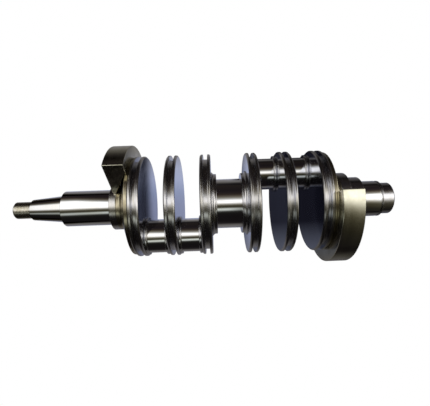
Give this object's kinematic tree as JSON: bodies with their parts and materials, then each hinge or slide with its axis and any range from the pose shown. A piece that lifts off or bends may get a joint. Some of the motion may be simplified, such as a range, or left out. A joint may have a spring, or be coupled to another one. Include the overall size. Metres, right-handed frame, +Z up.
{
  "type": "crankshaft",
  "caption": "Bare steel engine crankshaft: tapered threaded nose, grooved full-circle discs between paired crankpins, two end counterweights and a splined drive end.",
  "frame": {"origin": "on the crank axis, halfway along the shaft's whole length", "axes": "+X along the crank axis from the threaded nose to the drive end; +Z up as the crank lies on a bench, rolled so that the flywheel-side counterweight is underneath at the back and its throws point to -Y, 22.64 degrees above the horizontal"},
  "size_m": [0.4236, 0.1376, 0.1376],
  "materials": {
    "ground_steel": "cylindrically ground and polished, mirror-bright, faint lines round the shaft",
    "turned_steel": "fine turned, bright, with concentric tool lines",
    "forged_steel": "machined forging, satin, oiled and slightly brown",
    "thread_steel": "cut thread, satin",
    "key_steel": "bright drawn key steel, dull"
  },
  "bodies": {
    "root": {"threaded_nose": "thread_steel", "flywheel_taper": "ground_steel", "flywheel_key": "key_steel", "top_main_journal": "ground_steel", "top_shoulder": "turned_steel", "upper_web": "forged_steel", "upper_counterweight": "forged_steel", "seal_disc_1": "turned_steel", "seal_disc_2": "turned_steel", "seal_disc_3": "turned_steel", "seal_disc_4": "turned_steel", "seal_disc_5": "turned_steel", "seal_disc_6": "turned_steel", "pin_1_collar_inner": "turned_steel", "crankpin_1": "ground_steel", "pin_1_collar_outer": "turned_steel", "pin_2_collar_inner": "turned_steel", "crankpin_2": "ground_steel", "pin_2_collar_outer": "turned_steel", "pin_3_collar_inner": "turned_steel", "crankpin_3": "ground_steel", "pin_3_collar_outer": "turned_steel", "pin_4_collar_inner": "turned_steel", "crankpin_4": "ground_steel", "pin_4_collar_outer": "turned_steel", "centre_collar_upper": "turned_steel", "centre_main_journal": "ground_steel", "centre_collar_lower": "turned_steel", "lower_web": "forged_steel", "lower_counterweight": "forged_steel", "bearing_shoulder": "turned_steel", "seal_land": "turned_steel", "lower_main_journal": "ground_steel", "retaining_ring_neck": "turned_steel", "drive_sleeve": "turned_steel"}
  },
  "joints": []
}
